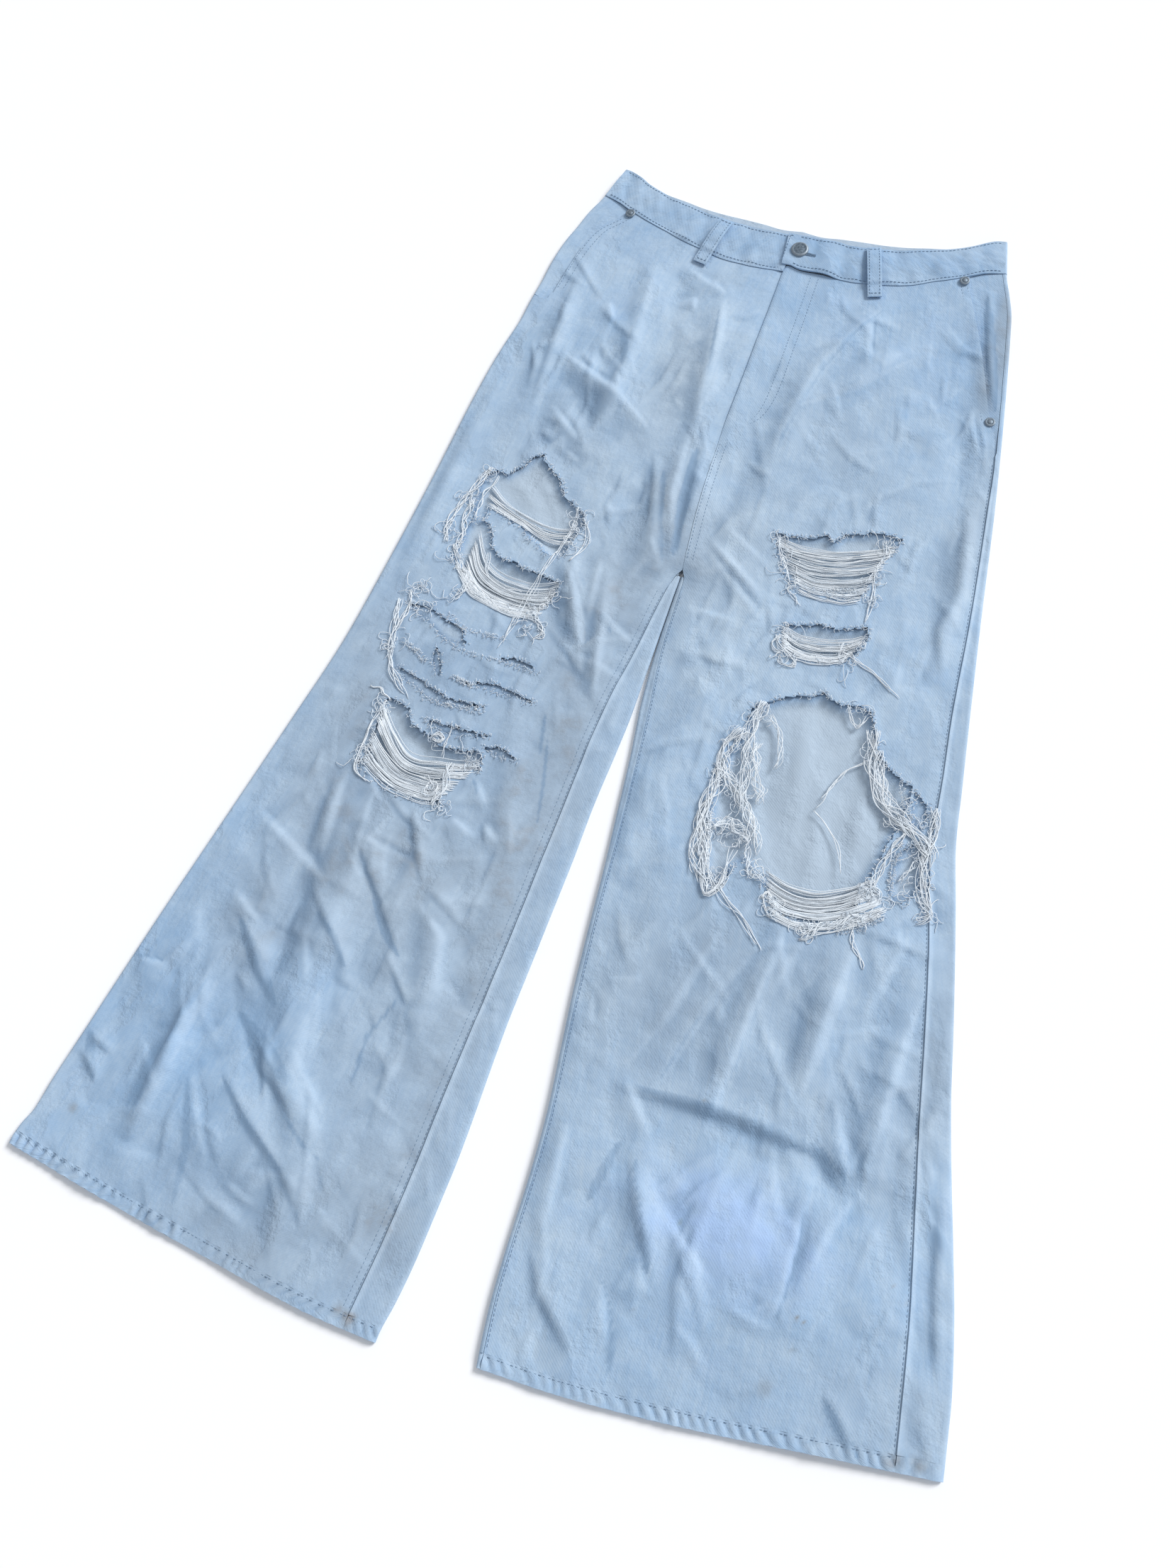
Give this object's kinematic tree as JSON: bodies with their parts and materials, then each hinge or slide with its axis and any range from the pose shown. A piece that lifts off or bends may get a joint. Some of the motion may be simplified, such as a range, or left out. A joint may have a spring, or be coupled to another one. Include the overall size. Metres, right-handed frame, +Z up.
{
  "type": "ripped jeans",
  "caption": "Ripped wide straight-leg jeans laid flat, front up, with cut-through rips, torn threads, waistband, belt loops, button and turned-up hems.",
  "frame": {"origin": "under the middle of the garment's outline, on the surface it lies on", "axes": "+X towards the wearer's left leg, +Y from the hems to the waist, +Z up from the surface, out of the garment's front"},
  "size_m": [0.75, 1.0968, 0.0139],
  "materials": {
    "denim": "washed light-blue cotton twill, worn and stained",
    "torn_thread": "bare pale cotton threads",
    "aged_metal": "dull dark grey-blue, worn"
  },
  "bodies": {
    "root": {"front_right": "denim", "back_right": "denim", "front_left": "denim", "back_left": "denim", "hem_front_right": "denim", "hem_front_left": "denim", "hem_back_right": "denim", "hem_back_left": "denim", "pocket_facing_left": "denim", "pocket_facing_right": "denim", "waistband": "denim", "belt_loop_right": "denim", "belt_loop_left": "denim", "waist_button": "aged_metal", "rivet_right_waist": "aged_metal", "rivet_left_waist": "aged_metal", "rivet_left_side": "aged_metal", "threads_left_thigh": "torn_thread", "threads_left_thigh_low": "torn_thread", "threads_left_knee_inner": "torn_thread", "threads_left_knee_outer": "torn_thread", "threads_left_knee_bridge": "torn_thread", "threads_right_thigh_side": "torn_thread", "threads_right_thigh": "torn_thread", "threads_right_slot_side": "torn_thread", "threads_right_knee": "torn_thread"}
  },
  "joints": []
}
